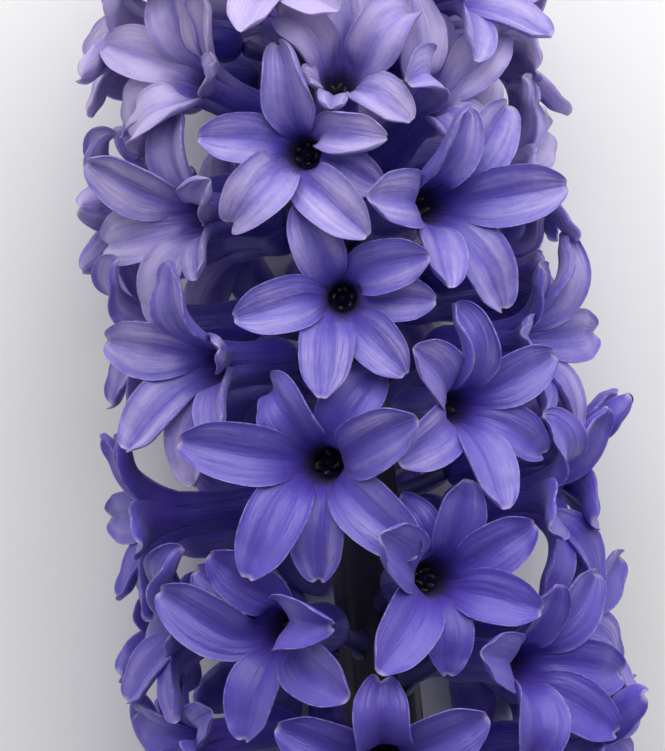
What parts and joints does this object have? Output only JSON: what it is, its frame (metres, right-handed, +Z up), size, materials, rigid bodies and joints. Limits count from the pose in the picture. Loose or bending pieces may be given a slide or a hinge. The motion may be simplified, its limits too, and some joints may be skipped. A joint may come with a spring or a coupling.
{
  "type": "hyacinth flower",
  "caption": "Cut hyacinth spike lying on its side: a fleshy stalk with short pedicels that carry many tubular florets with recurved lobes.",
  "frame": {"origin": "on the surface it lies on, under the middle of the whole flower", "axes": "+Y along the stalk from its cut end to the tip of the spike, +Z up from the surface"},
  "size_m": [0.0752, 0.2382, 0.0718],
  "materials": {
    "petal": "fleshy violet-blue petal, paler lilac at the margins",
    "stalk": "smooth fleshy stalk, dark purple among the florets and green towards the cut end"
  },
  "bodies": {
    "root": {"floret_01": "petal", "floret_02": "petal", "floret_03": "petal", "floret_04": "petal", "floret_05": "petal", "floret_06": "petal", "floret_07": "petal", "floret_08": "petal", "floret_09": "petal", "floret_10": "petal", "floret_11": "petal", "floret_12": "petal", "floret_13": "petal", "floret_14": "petal", "floret_15": "petal", "floret_16": "petal", "floret_17": "petal", "floret_18": "petal", "floret_19": "petal", "floret_20": "petal", "floret_21": "petal", "floret_22": "petal", "floret_23": "petal", "floret_24": "petal", "floret_25": "petal", "floret_26": "petal", "floret_27": "petal", "floret_28": "petal", "floret_29": "petal", "floret_30": "petal", "floret_31": "petal", "floret_32": "petal", "floret_33": "petal", "floret_34": "petal", "floret_35": "petal", "floret_36": "petal", "floret_37": "petal", "floret_38": "petal", "floret_39": "petal", "floret_40": "petal", "floret_41": "petal", "floret_42": "petal", "floret_43": "petal", "floret_44": "petal", "floret_45": "petal", "floret_46": "petal", "floret_47": "petal", "floret_48": "petal", "floret_49": "petal", "floret_50": "petal", "floret_51": "petal", "floret_52": "petal", "floret_53": "petal", "floret_54": "petal", "floret_55": "petal", "floret_56": "petal", "floret_57": "petal", "floret_58": "petal", "stem": "stalk"}
  },
  "joints": []
}
